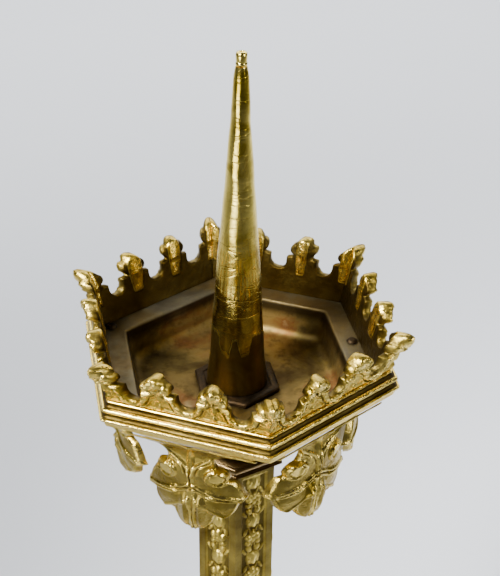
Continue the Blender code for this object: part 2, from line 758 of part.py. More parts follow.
def make_pricket(seat):
    """A hollow spike with a threaded bush in its foot and a small ferrule on its point."""
    low = seat + GAP
    tip = LIP_HEIGHT + PRICKET_TOP
    high = tip - TIP_LENGTH
    height = high - low
    outer = [(r * PRICKET_FOOT_RADIUS, low + share * height) for share, r in reversed(PRICKET_TAPER)]
    hole = 0.7 * MM
    inner = [(max(hole, radius - PRICKET_WALL), z) for radius, z in reversed(outer)]
    turned("pricket", outer + inner, BRASS, 24)
    bush_low = low + 3 * MM
    bush_top = bush_low + 9 * MM
    clear = PRICKET_WALL + GAP
    bush = [
        (pricket_radius((bush_top - low) / height) - clear, bush_top),
        (pricket_radius((bush_low - low) / height) - clear, bush_low),
    ]
    turned("pricket_bush", bored(bush, ROD_RADIUS + GAP, bush_low, bush_top), IRON, 20)
    ferrule = [
        *arc(0, tip - TIP_RADIUS, TIP_RADIUS, 66, 0, 3),
        (TIP_RADIUS, high + 1.6 * MM),
        (0.84 * TIP_RADIUS, high + 1 * MM),
        (TIP_RADIUS, high + GAP),
    ]
    turned("pricket_ferrule", bored(ferrule, 0.6 * MM, high + GAP, tip - 0.5 * MM), BRASS, 16)


def build():
    clear_scene()
    plinth_top = make_plinth()
    make_feet()
    make_closing_plate()
    dome_top = make_dome(plinth_top)
    collar_top = make_collar("lower_collar", dome_top)
    knop_low = collar_top + GAP + LOWER_STEM_LENGTH
    make_stem("lower_stem", collar_top, knop_low)
    ring_top = make_collar("knop_lower_ring", knop_low)
    knop_top = make_knop(ring_top)
    upper_ring = make_collar("knop_upper_ring", knop_top)
    make_stem("upper_stem", upper_ring, LIP_HEIGHT - ABACUS_DEPTH - GAP)
    abacus_top = make_abacus()

    head = empty("head_frame", LIP_HEIGHT, HEAD_TURN)
    make_rim(head)
    make_soffit(head)
    floor = LIP_HEIGHT + make_pan(head)
    make_gallery(head)
    make_leaves(head)
    make_neck(abacus_top, floor - PAN_SHEET)
    seat = make_seat_washer(floor)
    make_tie_rod(seat + ROD_IN_PRICKET)
    make_pricket(seat)


build()
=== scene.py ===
"""The looks of a gothic-revival altar pricket candlestick in gilt brass."""

import json
import math

import bpy
import numpy as np
from mathutils import Matrix, Vector


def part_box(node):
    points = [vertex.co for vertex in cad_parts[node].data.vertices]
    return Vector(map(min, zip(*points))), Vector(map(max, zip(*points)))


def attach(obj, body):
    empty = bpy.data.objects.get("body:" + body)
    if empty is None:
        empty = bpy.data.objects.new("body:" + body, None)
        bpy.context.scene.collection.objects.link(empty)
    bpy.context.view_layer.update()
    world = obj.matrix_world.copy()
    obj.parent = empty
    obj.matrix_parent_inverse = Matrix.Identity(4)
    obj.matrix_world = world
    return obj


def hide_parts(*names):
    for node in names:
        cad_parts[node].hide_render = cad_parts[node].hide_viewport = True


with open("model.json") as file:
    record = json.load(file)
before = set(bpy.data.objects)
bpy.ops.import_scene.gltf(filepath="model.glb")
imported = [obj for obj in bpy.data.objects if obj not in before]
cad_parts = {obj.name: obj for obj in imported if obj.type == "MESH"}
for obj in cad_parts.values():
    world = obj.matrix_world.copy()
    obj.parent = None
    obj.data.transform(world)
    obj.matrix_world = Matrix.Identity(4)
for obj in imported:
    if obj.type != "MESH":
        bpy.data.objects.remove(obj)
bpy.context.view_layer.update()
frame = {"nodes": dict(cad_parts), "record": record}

MM = 0.001
HEX = 6
CORNER = 1 / math.cos(math.pi / HEX)  # corner radius of a hexagon over its apothem
HALF_SIDE = math.tan(math.pi / HEX)  # half a side of a hexagon over its apothem
FACES = [math.radians(-60 + 60 * number) for number in range(HEX)]  # azimuths of the six sides
HEAD_TURN = math.radians(11.4)  # how far the head stands turned from the stem

RIM_LOW, RIM_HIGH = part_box("rim_moulding")
RIM_TOP = 5.6  # the rim's top edge above its bottom lip, in millimetres
LIP_HEIGHT = RIM_HIGH.z - RIM_TOP * MM
LIP_Z = LIP_HEIGHT / MM  # the same height in millimetres
LIP = -RIM_LOW.y / math.cos(HEAD_TURN) / CORNER / MM  # the lip's apothem, in millimetres
STEM = -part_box("upper_stem")[0].y / CORNER / MM  # the stems' apothem, in millimetres

MERGE = 1e-6  # metres: points closer than this are one point
BODY_OF = {node: body for body, nodes in frame["record"]["behaviour"]["bodies"].items() for node in nodes}


# --- Small tools ---


def deselect():
    for other in bpy.context.selected_objects:
        other.select_set(False)


def focus(obj):
    """Selects one object and nothing else."""
    deselect()
    obj.select_set(True)
    bpy.context.view_layer.objects.active = obj


def edit_all(obj):
    """Opens one object in edit mode with all of its mesh selected."""
    focus(obj)
    bpy.ops.object.mode_set(mode="EDIT")
    bpy.ops.mesh.select_all(action="SELECT")


def box_rows(node):
    """The bottom and the top of a CAD node, in millimetres above the lip."""
    return tuple((corner.z - LIP_HEIGHT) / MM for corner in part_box(node))


def points_of(obj):
    flat = np.empty(len(obj.data.vertices) * 3)
    obj.data.vertices.foreach_get("co", flat)
    return flat.reshape(-1, 3)


def set_points(obj, points):
    obj.data.vertices.foreach_set("co", np.asarray(points, dtype=float).ravel())
    obj.data.update()


def set_wear_and_shade(obj, values):
    """Stores each point's wear and painted shade: 0 in a hollow, painted dark as patina and shade, 1 on a
    ridge, rubbed bright.
    """
    layer = obj.data.attributes.new("wear_and_shade", "FLOAT", "POINT")
    layer.data.foreach_set("value", np.clip(values, 0, 1).astype(np.float32))


def apply_modifier(obj, kind, **settings):
    focus(obj)
    modifier = obj.modifiers.new(kind.title(), kind)
    for key, value in settings.items():
        setattr(modifier, key, value)
    bpy.ops.object.modifier_apply(modifier=modifier.name)


def smooth(obj, degrees):
    focus(obj)
    bpy.ops.object.shade_smooth_by_angle(angle=math.radians(degrees))


def place(piece, name, finish, *nodes):
    """Names a piece, gives it its finish, and lets it stand for CAD nodes."""
    piece.name = name
    piece.data.materials.clear()
    piece.data.materials.append(finish)
    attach(piece, BODY_OF[nodes[0]])
    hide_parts(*nodes)


def filed_casting(node, finish, break_edge=0.25 * MM, sharp=35, segments=2):
    """A piece of the frame with its edges broken, as on a filed casting."""
    deselect()
    piece = bpy.data.objects.new(f"{node}_cast", frame["nodes"][node].data.copy())
    bpy.context.scene.collection.objects.link(piece)
    edit_all(piece)
    bpy.ops.mesh.remove_doubles(threshold=MERGE)
    bpy.ops.mesh.dissolve_limited(angle_limit=math.radians(1))
    bpy.ops.object.mode_set(mode="OBJECT")
    apply_modifier(
        piece,
        "BEVEL",
        width=break_edge,
        segments=segments,
        limit_method="ANGLE",
        angle_limit=math.radians(sharp),
        use_clamp_overlap=True,
    )
    smooth(piece, 44)
    place(piece, f"{node}_cast", finish, node)
    return piece


# --- Drawing: outlines and relief on a flat sheet, in millimetres ---


def arc(cx, cy, radius, start, end, steps):
    """Points of an arc, angles in degrees."""
    angles = np.radians(np.linspace(start, end, steps + 1))
    return [(cx + radius * math.cos(a), cy + radius * math.sin(a)) for a in angles]


def smooth_path(points, steps=8):
    """A smooth line through a few points."""
    p = np.array([points[0], *points, points[-1]], dtype=float)
    t = np.linspace(0, 1, steps, endpoint=False)[:, None]
    out = []
    for a, b, c, d in zip(p, p[1:], p[2:], p[3:]):
        square, cube = 2 * a - 5 * b + 4 * c - d, 3 * b - a - 3 * c + d
        out.append(0.5 * (2 * b + (c - a) * t + square * t**2 + cube * t**3))
    return np.vstack([*out, p[-1:]])


def line_distance(points, path):
    """Distance from each point to an open line."""
    path = np.asarray(path, dtype=float)
    best = np.full(len(points), 1e9)
    for a, b in zip(path, path[1:]):
        ab = b - a
        t = np.clip((points - a) @ ab / max(ab @ ab, 1e-12), 0, 1)
        best = np.minimum(best, np.hypot(*(points - a - t[:, None] * ab).T))
    return best


def outline_distance(points, outline):
    """Distance from each point to a closed outline, positive inside it."""
    outline = np.asarray(outline, dtype=float)
    inside = np.zeros(len(points), dtype=bool)
    x, y = points.T
    for (x0, y0), (x1, y1) in zip(outline, np.roll(outline, -1, axis=0)):
        if y0 != y1:
            inside ^= ((y0 > y) != (y1 > y)) & (x < (x1 - x0) * (y - y0) / (y1 - y0) + x0)
    near = line_distance(points, np.vstack([outline, outline[:1]]))
    return np.where(inside, near, -near)


def ridge(distance, half_width, height):
    """A half-round moulding along a line."""
    return height * np.sqrt(np.clip(1 - (distance / half_width) ** 2, 0, 1))


def dome(points, centre, radii, height, turn=0):
    """An oval boss."""
    c, s = math.cos(math.radians(turn)), math.sin(math.radians(turn))
    x, y = (points - centre).T
    along, across = (c * x + s * y) / radii[0], (c * y - s * x) / radii[1]
    return height * np.sqrt(np.clip(1 - along**2 - across**2, 0, 1))


def ramp(value, low, high):
    """Runs smoothly from 0 at low to 1 at high."""
    t = np.clip((value - low) / (high - low), 0, 1)
    return t * t * (3 - 2 * t)


def sawn_sheet(name, outline, cell):
    """A flat sheet of small cells, sawn to an outline, with a front and a back one unit apart."""
    outline = np.asarray(outline, dtype=float)
    low, high = outline.min(axis=0), outline.max(axis=0)
    columns, rows = (int(n) for n in np.ceil((high - low) / cell))
    deselect()
    bpy.ops.mesh.primitive_grid_add(x_subdivisions=columns, y_subdivisions=rows, size=1)
    sheet = bpy.context.object
    sheet.name = name
    points = points_of(sheet)
    points[:, :2] = low + (points[:, :2] + 0.5) * (high - low)
    set_points(sheet, points)
    keep = outline_distance(points[:, :2], outline) > -0.55 * cell
    focus(sheet)
    bpy.ops.object.mode_set(mode="EDIT")
    bpy.ops.mesh.select_all(action="DESELECT")
    bpy.ops.object.mode_set(mode="OBJECT")
    sheet.data.vertices.foreach_set("select", ~keep)
    bpy.ops.object.mode_set(mode="EDIT")
    bpy.ops.mesh.delete(type="VERT")
    bpy.ops.object.mode_set(mode="OBJECT")
    snap_edge(sheet, outline)
    apply_modifier(sheet, "SOLIDIFY", thickness=1, offset=-1)
    return sheet


def snap_edge(sheet, outline):
    """Moves the sheet's edge points onto the outline."""
    mesh = sheet.data
    loops = np.empty(len(mesh.loops), dtype=np.int32)
    mesh.loops.foreach_get("edge_index", loops)
    edges = np.empty(len(mesh.edges) * 2, dtype=np.int32)
    mesh.edges.foreach_get("vertices", edges)
    border = np.unique(edges.reshape(-1, 2)[np.bincount(loops, minlength=len(mesh.edges)) == 1])
    points = points_of(sheet)
    step = 0.02
    for _ in range(2):
        flat = points[border, :2]
        here = outline_distance(flat, outline)
        slopes = []
        for offset in ((step, 0), (0, step)):
            ahead, behind = (outline_distance(flat + way * np.array(offset), outline) for way in (1, -1))
            slopes.append((ahead - behind) / (2 * step))
        slope = np.stack(slopes, axis=1)
        slope /= np.maximum(np.linalg.norm(slope, axis=1, keepdims=True), 0.3)
        points[border, :2] -= here[:, None] * slope
    set_points(sheet, points)


def stand_up(sheet, angle, reach, along, height):
    """Stands a drawn sheet up at an azimuth: outward reach, run along the side and height, in millimetres."""
    x = reach * np.cos(angle) - along * np.sin(angle)
    y = reach * np.sin(angle) + along * np.cos(angle)
    set_points(sheet, np.stack([x, y, height], axis=1) * MM)


# --- Finishes ---


def add_node(tree, kind, inputs=None, **settings):
    node = tree.nodes.new(kind)
    for key, value in settings.items():
        setattr(node, key, value)
    for key, value in (inputs or {}).items():
        if isinstance(value, bpy.types.NodeSocket):
            tree.links.new(value, node.inputs[key])
        else:
            node.inputs[key].default_value = value
    return node


def colour_ramp(tree, factor, stops):
    node = add_node(tree, "ShaderNodeValToRGB", {"Fac": factor})
    elements = node.color_ramp.elements
    while len(elements) < len(stops):
        elements.new(0.5)
    for element, (position, colour) in zip(elements, stops):
        element.position = position
        element.color = (*colour, 1) if isinstance(colour, tuple) else (colour, colour, colour, 1)
    return node.outputs["Color"]


def noise(tree, vector, scale, detail=4, roughness=0.55, distortion=0):
    node = add_node(tree, "ShaderNodeTexNoise", {"Vector": vector, "Scale": scale, "Detail": detail})
    node.inputs["Roughness"].default_value = roughness
    node.inputs["Distortion"].default_value = distortion
    return node.outputs["Fac"]


def maths(tree, operation, first, second=0.0, third=0.0, clamp=False):
    inputs = {0: first, 1: second, 2: third}
    return add_node(tree, "ShaderNodeMath", inputs, operation=operation, use_clamp=clamp).outputs[0]


def split(tree, vector):
    """The X, Y and Z of a vector."""
    return add_node(tree, "ShaderNodeSeparateXYZ", {"Vector": vector}).outputs


def scaled(tree, vector, scale):
    return add_node(tree, "ShaderNodeMapping", {"Vector": vector, "Scale": scale}).outputs["Vector"]


def openness(tree, distance):
    """Runs from 0 deep in a hollow of the piece to 1 in the open."""
    node = add_node(tree, "ShaderNodeAmbientOcclusion", {"Distance": distance}, samples=6, only_local=True)
    return node.outputs["AO"]


def mix_colour(tree, factor, first, second):
    node = add_node(tree, "ShaderNodeMix", {"Factor": factor}, data_type="RGBA")
    for index, value in ((6, first), (7, second)):
        if isinstance(value, bpy.types.NodeSocket):
            tree.links.new(value, node.inputs[index])
        else:
            node.inputs[index].default_value = (*value, 1)
    return node.outputs[2]


def new_finish(name):
    made = bpy.data.materials.new(name)
    made.use_nodes = True
    tree = made.node_tree
    position = add_node(tree, "ShaderNodeTexCoord").outputs["Object"]
    return made, tree, tree.nodes["Principled BSDF"], position


def finish_metal(tree, shader, colour, matt):
    shader.inputs["Metallic"].default_value = 1
    tree.links.new(colour, shader.inputs["Base Color"])
    tree.links.new(matt, shader.inputs["Roughness"])


def bump(tree, shader, height, strength, distance):
    node = add_node(tree, "ShaderNodeBump", {"Height": height, "Strength": strength, "Distance": distance})
    tree.links.new(node.outputs["Normal"], shader.inputs["Normal"])


GOLD_BRIGHT = (0.95, 0.72, 0.17)
GOLD = (0.66, 0.455, 0.05)
GOLD_DEEP = (0.20, 0.13, 0.008)
# The dark colour of patina and painted shade in the hollows.
HOLLOW_PATINA_AND_SHADE = (0.024, 0.012, 0.0025)


def gilt_brass(
    name, gold=GOLD, bright=GOLD_BRIGHT, worn_and_shaded=False, grain=1.0, skin_scale=900, rough=(0.15, 0.34)
):
    """Gilt brass: patina and painted shade in its hollows, rubbed bright on its ridges, with a fine cast or
    hammered skin.

    A finish that reads the point attribute takes each point's wear and painted shade from it. Grain is how
    deep the skin is, and rough its least and most.
    """
    made, tree, shader, position = new_finish(name)
    cloud = noise(tree, position, 65, 3)
    spots = noise(tree, position, 520, 4, 0.6)
    body = mix_colour(tree, colour_ramp(tree, cloud, ((0.35, 0.0), (0.68, 1.0))), gold, bright)
    body = mix_colour(tree, colour_ramp(tree, spots, ((0.56, 0.0), (0.74, 0.45))), body, GOLD_DEEP)
    # Patina and painted shade: the piece's own occlusion darkens its hollows.
    patina_and_shade = colour_ramp(tree, openness(tree, 3.2 * MM), ((0.38, 1.0), (0.86, 0.0)))
    if worn_and_shaded:
        wear_and_shade = add_node(tree, "ShaderNodeAttribute", attribute_name="wear_and_shade").outputs["Fac"]
        body = mix_colour(tree, colour_ramp(tree, wear_and_shade, ((0.5, 0.0), (0.95, 1.0))), body, bright)
        # Low values of the point attribute darken a point too, as patina and painted shade.
        patina_and_shade = maths(tree, "MAXIMUM", patina_and_shade, colour_ramp(tree, wear_and_shade, ((0.02, 0.99), (0.36, 0.0))))
    patina_and_shade = maths(tree, "MULTIPLY", patina_and_shade, colour_ramp(tree, cloud, ((0.2, 1.0), (0.8, 0.93))))
    matt = colour_ramp(tree, noise(tree, position, 240, 3), ((0.3, rough[0]), (0.75, rough[1])))
    matt = maths(tree, "ADD", matt, maths(tree, "MULTIPLY", patina_and_shade, 0.22))
    finish_metal(tree, shader, mix_colour(tree, patina_and_shade, body, HOLLOW_PATINA_AND_SHADE), matt)
    dimples = maths(tree, "MULTIPLY", noise(tree, position, 210, 2), 1.6)
    skin = maths(tree, "ADD", noise(tree, position, skin_scale, 3, 0.6), dimples)
    bump(tree, shader, skin, 0.5 * grain, 0.35 * MM)
    return made


def pan_patina():
    """Dull brown sheet with red-brown blotches and bronze on its ledge, with painted shade round the spike, a
    painted shadow on its wall under the ledge's edge, and painted shade in its hollows.
    """
    made, tree, shader, position = new_finish("pan_patina")
    x, y, z = split(tree, position)
    rise = maths(tree, "DIVIDE", maths(tree, "SUBTRACT", z, LIP_HEIGHT), 1 * MM)
    cloud = noise(tree, position, 45, 5, 0.6, 0.6)
    spots = noise(tree, position, 190, 4, 0.6)
    blotches = (
        (0.3, (0.05, 0.03, 0.008)),
        (0.44, (0.12, 0.085, 0.025)),
        (0.54, (0.20, 0.135, 0.04)),
        (0.64, (0.17, 0.075, 0.022)),
        (0.76, (0.33, 0.25, 0.11)),
    )
    body = colour_ramp(tree, cloud, blotches)
    body = mix_colour(tree, colour_ramp(tree, spots, ((0.5, 0.0), (0.7, 0.7))), body, (0.05, 0.03, 0.01))

    tint = colour_ramp(tree, cloud, ((0.4, 0.0), (0.62, 1.0)))
    bronze = mix_colour(tree, tint, (0.12, 0.085, 0.035), (0.10, 0.10, 0.07))
    on_ledge = maths(tree, "ADD", rise, 3.0, clamp=True)
    body = mix_colour(tree, maths(tree, "MULTIPLY", on_ledge, 0.8), body, bronze)

    # Painted shade on the floor round the spike, where the spike and its washer shade it.
    squares = [maths(tree, "POWER", part, 2.0) for part in (x, y)]
    from_spike = maths(tree, "SQRT", maths(tree, "ADD", *squares))
    from_spike = maths(tree, "ADD", from_spike, maths(tree, "MULTIPLY", cloud, 12 * MM))
    spike_shade = colour_ramp(tree, maths(tree, "DIVIDE", from_spike, 40 * MM), ((0.42, 0.85), (0.72, 0.0)))
    body = mix_colour(tree, spike_shade, body, (0.035, 0.019, 0.006))

    # Painted shadow on the recess wall just under the ledge's edge.
    up_wall = maths(tree, "DIVIDE", maths(tree, "ADD", rise, 9.0), 8.0)
    ledge_shadow = colour_ramp(tree, up_wall, ((0.2, 0.0), (0.62, 0.9), (0.84, 0.9), (0.93, 0.0)))
    body = mix_colour(tree, ledge_shadow, body, (0.018, 0.010, 0.003))
    # Painted shade in the pan's hollows, from its own occlusion.
    hollow_shade = colour_ramp(tree, openness(tree, 7 * MM), ((0.35, 0.7), (0.8, 0.0)))
    body = mix_colour(tree, hollow_shade, body, (0.02, 0.011, 0.003))

    finish_metal(tree, shader, body, colour_ramp(tree, spots, ((0.3, 0.48), (0.7, 0.7))))
    bump(tree, shader, maths(tree, "ADD", cloud, spots), 0.3, 0.4 * MM)
    return made


def pricket_polish():
    """Polished brass, scratched round by candles, with a brown foot that two bright runs cross."""
    made, tree, shader, position = new_finish("pricket_polish")
    x, y, z = split(tree, position)
    rise = maths(tree, "SUBTRACT", z, LIP_HEIGHT)
    azimuth = maths(tree, "ARCTAN2", y, x)
    cloud = noise(tree, position, 90, 4, 0.6, 0.8)
    tone = colour_ramp(tree, cloud, ((0.36, 0.0), (0.56, 1.0)))
    body = mix_colour(tree, tone, (0.50, 0.35, 0.03), (0.95, 0.74, 0.16))
    streaks = noise(tree, scaled(tree, position, (1, 1, 0.22)), 260, 4, 0.6, 0.4)
    body = mix_colour(tree, colour_ramp(tree, streaks, ((0.55, 0.0), (0.72, 0.6))), body, (0.20, 0.12, 0.015))

    edge = maths(tree, "MULTIPLY_ADD", noise(tree, position, 120, 3), 12 * MM, 6.5 * MM)
    for degrees, depth in ((-117, 6 * MM), (-72, 6.5 * MM)):
        turn = maths(tree, "COSINE", maths(tree, "SUBTRACT", azimuth, math.radians(degrees)))
        run = colour_ramp(tree, turn, ((0.955, 0.0), (0.99, 1.0)))
        edge = maths(tree, "SUBTRACT", edge, maths(tree, "MULTIPLY", run, depth))
    over = maths(tree, "DIVIDE", maths(tree, "SUBTRACT", edge, rise), 2.5 * MM)
    stain = colour_ramp(tree, over, ((0.0, 0.0), (1.0, 0.94)))
    body = mix_colour(tree, stain, body, (0.055, 0.026, 0.004))

    matt = colour_ramp(tree, streaks, ((0.3, 0.12), (0.7, 0.28)))
    finish_metal(tree, shader, body, maths(tree, "ADD", matt, maths(tree, "MULTIPLY", stain, 0.22)))
    rings = noise(tree, scaled(tree, position, (1, 1, 4)), 55, 2, 0.5, 0.6)
    scratch = colour_ramp(tree, rings, ((0.47, 1.0), (0.5, 0.0), (0.53, 1.0)))
    bump(tree, shader, maths(tree, "ADD", maths(tree, "MULTIPLY", scratch, 0.14), cloud), 0.5, 0.5 * MM)
    return made


def dark_iron():
    made, tree, shader, position = new_finish("dark_iron")
    cloud = noise(tree, position, 160, 5, 0.65)
    blacks = ((0.35, (0.012, 0.008, 0.004)), (0.6, (0.04, 0.026, 0.013)), (0.75, (0.09, 0.05, 0.02)))
    matt = colour_ramp(tree, cloud, ((0.3, 0.45), (0.7, 0.7)))
    finish_metal(tree, shader, colour_ramp(tree, cloud, blacks), matt)
    bump(tree, shader, noise(tree, position, 700, 4), 0.5, 0.3 * MM)
    return made


def pale_paint():
    made, tree, shader, position = new_finish("pale_paint")
    body = mix_colour(tree, noise(tree, position, 3, 2), (0.735, 0.765, 0.815), (0.765, 0.79, 0.835))
    tree.links.new(body, shader.inputs["Base Color"])
    shader.inputs["Roughness"].default_value = 0.9
    return made


GILT_RELIEF = gilt_brass("gilt_relief", worn_and_shaded=True, grain=1.4)
GILT_MOULDED = gilt_brass("gilt_moulded", grain=0.35, rough=(0.16, 0.34))
GILT_LEAF = gilt_brass("gilt_leaf", (0.48, 0.325, 0.03), worn_and_shaded=True, grain=1.3, rough=(0.13, 0.28))
SATIN_BRONZE = gilt_brass(
    "satin_bronze", (0.30, 0.19, 0.075), (0.40, 0.27, 0.11), grain=0.4, rough=(0.3, 0.45)
)
GILT_RIM = gilt_brass("gilt_rim", worn_and_shaded=True, grain=1.1, rough=(0.16, 0.34))
GILT_HAMMERED = gilt_brass("gilt_hammered", grain=1.5, skin_scale=520, rough=(0.24, 0.45))
STEM_RELIEF = gilt_brass(
    "stem_relief", (0.21, 0.13, 0.012), (0.86, 0.66, 0.14), worn_and_shaded=True, grain=0.7, rough=(0.28, 0.46)
)
STEM_PLAIN = gilt_brass("stem_plain", (0.24, 0.15, 0.014), (0.40, 0.27, 0.03), grain=0.5, rough=(0.26, 0.44))
PAN = pan_patina()
POLISH = pricket_polish()
IRON = dark_iron()


# --- The gallery ---

# From here to the pricket, sizes are in millimetres and heights are above the lip.

BAYS = 3
PANEL_BASE = LIP - 3.7  # apothem of a panel's outer face at the rim's top
PANEL_FOOT = -0.7
PANEL_LEAN = 0.17
PANEL_THICKNESS = 2.4
PANEL_CELL = 0.34
MITRE_GAP = 0.3
SIDE = 2 * PANEL_BASE * HALF_SIDE  # one panel's length at its foot
PITCH = SIDE / BAYS
RIB_WIDTHS = np.array([3.3, 1.9, 3.7, 2.4, 3.0])  # the backs of the fleurons were chased unequally


def fleuron_half():
    """Right half of a fleuron and of the notch beside it, from its tip to the notch's bottom."""
    return [
        *arc(0, 19.3, 2.8, 90, 34, 5),
        *arc(3.0, 17.4, 2.1, 62, -66, 8),
        (3.6, 15.3),
        (4.0, 14.8),
        (4.7, 14.7),
        (PITCH / 2 - 3.4, 14.2),
        *arc(PITCH / 2, 12.2, 3.35, 180, 270, 9),
    ]


def cresting(first, last):
    """The gallery's top edge from one fleuron's middle to another's, counted from the panel's left corner."""
    half = fleuron_half()
    path = []
    for bay in range(first, last):
        left = -SIDE / 2 + bay * PITCH
        path += [(left + x, z) for x, z in half]
        path += [(left + PITCH - x, z) for x, z in reversed(half[:-1])]
    return [p for i, p in enumerate(path) if i == 0 or math.dist(p, path[i - 1]) > 1e-6]


def gallery_relief(flat, seed):
    """The chasing outside, the swelling inside, the way to the edge, and the ribs inside."""
    phases = np.random.default_rng(seed).uniform(0, 6.3, BAYS + 2)
    s, z = flat.T
    edge = line_distance(flat, cresting(-1, BAYS + 1))
    fleuron = np.floor((s + SIDE / 2) / PITCH + 0.5).astype(int)
    centre = -SIDE / 2 + fleuron * PITCH
    x = s - centre
    local = np.stack([x, z], axis=1)
    phase = phases[np.clip(fleuron, 0, BAYS + 1)]
    around_notch = np.arctan2(z - 12.6, np.abs(x) - PITCH / 2)
    leafy = 1 + 0.13 * np.sin(7 * around_notch + phase) + 0.1 * np.sin(17 * around_notch + 2 * phase)
    below_head = 1 - ramp(z, 13.2, 14.6)
    moulding = ridge(edge - 1.35, 1.35, 1.3) * leafy * below_head
    fillet = ridge(edge - 3.3, 0.36, 0.55) * (1 - ramp(z, 14, 15.5))
    tongue = ridge(np.abs(x), 0.8, 0.6) * ramp(z, 9.8, 11) * (1 - ramp(z, 13, 14.5))
    triangle = np.clip(1 - np.abs(x) / 1.9 - np.abs(z - 7.9) / 1.5, 0, 1) * 0.9
    lobes = [
        dome(local, (0, 19.2), (3.3, 3.3), 2.6),
        dome(local, (-3.0, 17.2), (2.6, 2.7), 2.3, -20),
        dome(local, (3.0, 17.2), (2.6, 2.7), 2.3, 20),
        dome(local, (0, 15.4), (3.1, 2.4), 2.1),
    ]
    fan = np.arctan2(z - 14.6, x)
    crinkle = 0.3 * np.sin(11 * fan + phase) + 0.2 * np.sin(2.6 * z + 2.1 * x + phase) * np.cos(3.1 * x - z)
    head = np.max(lobes, axis=0) * ramp(z, 13.9, 15.6)
    head += crinkle * np.clip(head, 0, 1)
    outer = moulding + fillet + tongue + triangle + head
    outer += 0.25 * ramp(z, 5.6, 6.2) * (1 - ramp(z, 6.9, 7.2))
    rib_width = RIB_WIDTHS[(fleuron + seed) % len(RIB_WIDTHS)] * (0.75 + 0.25 * ramp(z, 8, 15))
    rib = ridge(x, rib_width, 1) * ramp(z, 6.8, 8.6)
    inner = 0.5 * ridge(x, 3.6, 1) * ramp(z, 13, 16) + 0.8 * rib
    return outer, inner, edge, rib


def make_gallery_panel(number):
    outline = [*cresting(0, BAYS), (SIDE / 2, PANEL_FOOT), (-SIDE / 2, PANEL_FOOT)]
    panel = sawn_sheet("panel", outline, PANEL_CELL)
    points = points_of(panel)
    flat = points[:, :2]
    back = points[:, 2] < -0.5
    outer, inner, edge, rib = gallery_relief(flat, 10 + number)
    s, z = flat.T
    above_rim = z - RIM_TOP
    near_corner = np.clip(np.abs(s / SIDE) - 0.33, 0, None) / 0.17
    flare = 1.6 * near_corner**2 * np.clip(above_rim / 16.4, 0, None)
    bend = 0.9 * np.clip((z - 12) / 10, 0, None) ** 2
    round_off = 0.7 * np.clip(1 - edge / 0.7, 0, 1) ** 2 * ramp(z, 8, 10)
    reach = PANEL_BASE + PANEL_LEAN * above_rim + flare + bend
    reach += np.where(back, -PANEL_THICKNESS - inner + 0.5 * round_off, outer - round_off)
    along = s * reach / PANEL_BASE * (1 - MITRE_GAP / SIDE)
    stand_up(panel, FACES[number] + HEAD_TURN, reach, along, z + LIP_Z)
    # Painted shade and highlight: the inner face is painted dark as shade, and its ribs bright, partly rubbed
    # and partly a painted highlight. Outside, hollows and the outline's edge get patina and painted shade,
    # and the raised relief is rubbed bright.
    inner_sheen_and_shade = 0.02 + 0.6 * ramp(rib, 0.15, 0.7) * (1 - 0.6 * ramp(z, 17, 22))
    outer_wear_and_shade = (0.3 + 0.42 * outer) * (0.25 + 0.75 * ramp(edge, 0.2, 1.7))
    set_wear_and_shade(panel, np.where(back, inner_sheen_and_shade, outer_wear_and_shade))
    smooth(panel, 60)
    place(panel, f"gallery_{number + 1}", GILT_RELIEF, f"gallery_panel_{number + 1}")


# --- The leaves ---

SOFFIT_FOOT, SOFFIT_TOP = box_rows("pan_soffit")
SOFFIT_TOP_APOTHEM = LIP - 2.2
SOFFIT_FOOT_APOTHEM = 40.2
SOFFIT_SLOPE = (SOFFIT_TOP_APOTHEM - SOFFIT_FOOT_APOTHEM) / (SOFFIT_TOP - SOFFIT_FOOT)

LEAF_TOP = SOFFIT_TOP - 1.4
LEAF_TIP = -50.4
LEAF_REACH = LIP - 8  # how far out it hangs
LEAF_LEAN = 0.043
LEAF_GAP = 0.45  # between its arms and the soffit
LEAF_THICKNESS = 2.6
LEAF_CELL = 0.36
LEAF_CURL = 6.5  # how far its sides bend back towards the stem
LEAF_ARM = 24  # where its arms end, to either side
LEAF_EYE = (9.2, -22.7)
LEAF_SLIP = -1.0  # how far it hangs to one side of its arms
LEAF_SPREAD, LEAF_STRETCH = 1.04, 1.015  # the castings came out a little wider and longer than drawn


def leaf_half():
    """Right edge of a vine leaf from the end of its arm to its tip."""
    arm = [(LEAF_ARM, -7.4), (18.5, -7.7), (13.6, -9.3), (10, -12.2), (8.2, -15.3), (9.2, -18.6)]
    eye = arc(*LEAF_EYE, 3.9, 62, -44, 9)
    upper_lobe = [(12.4, -25.3), (14.6, -26.2), (16.4, -29.2), (17.3, -32.0), (18.3, -34.0)]
    side = [(17.0, -35.2), (15.5, -36.6), (14.7, -39.2), (13.2, -41.4), (11.8, -42.6)]
    sinus = [(9.8, -42.2), (7.9, -41.4), (7.3, -43.6), (6.1, -46.4), (3.9, -48.6), (1.8, -49.6)]
    arm, upper_lobe, side, sinus = (smooth_path(path, 5) for path in (arm, upper_lobe, side, sinus))
    return [*arm, *eye, *upper_lobe, *side, *sinus]


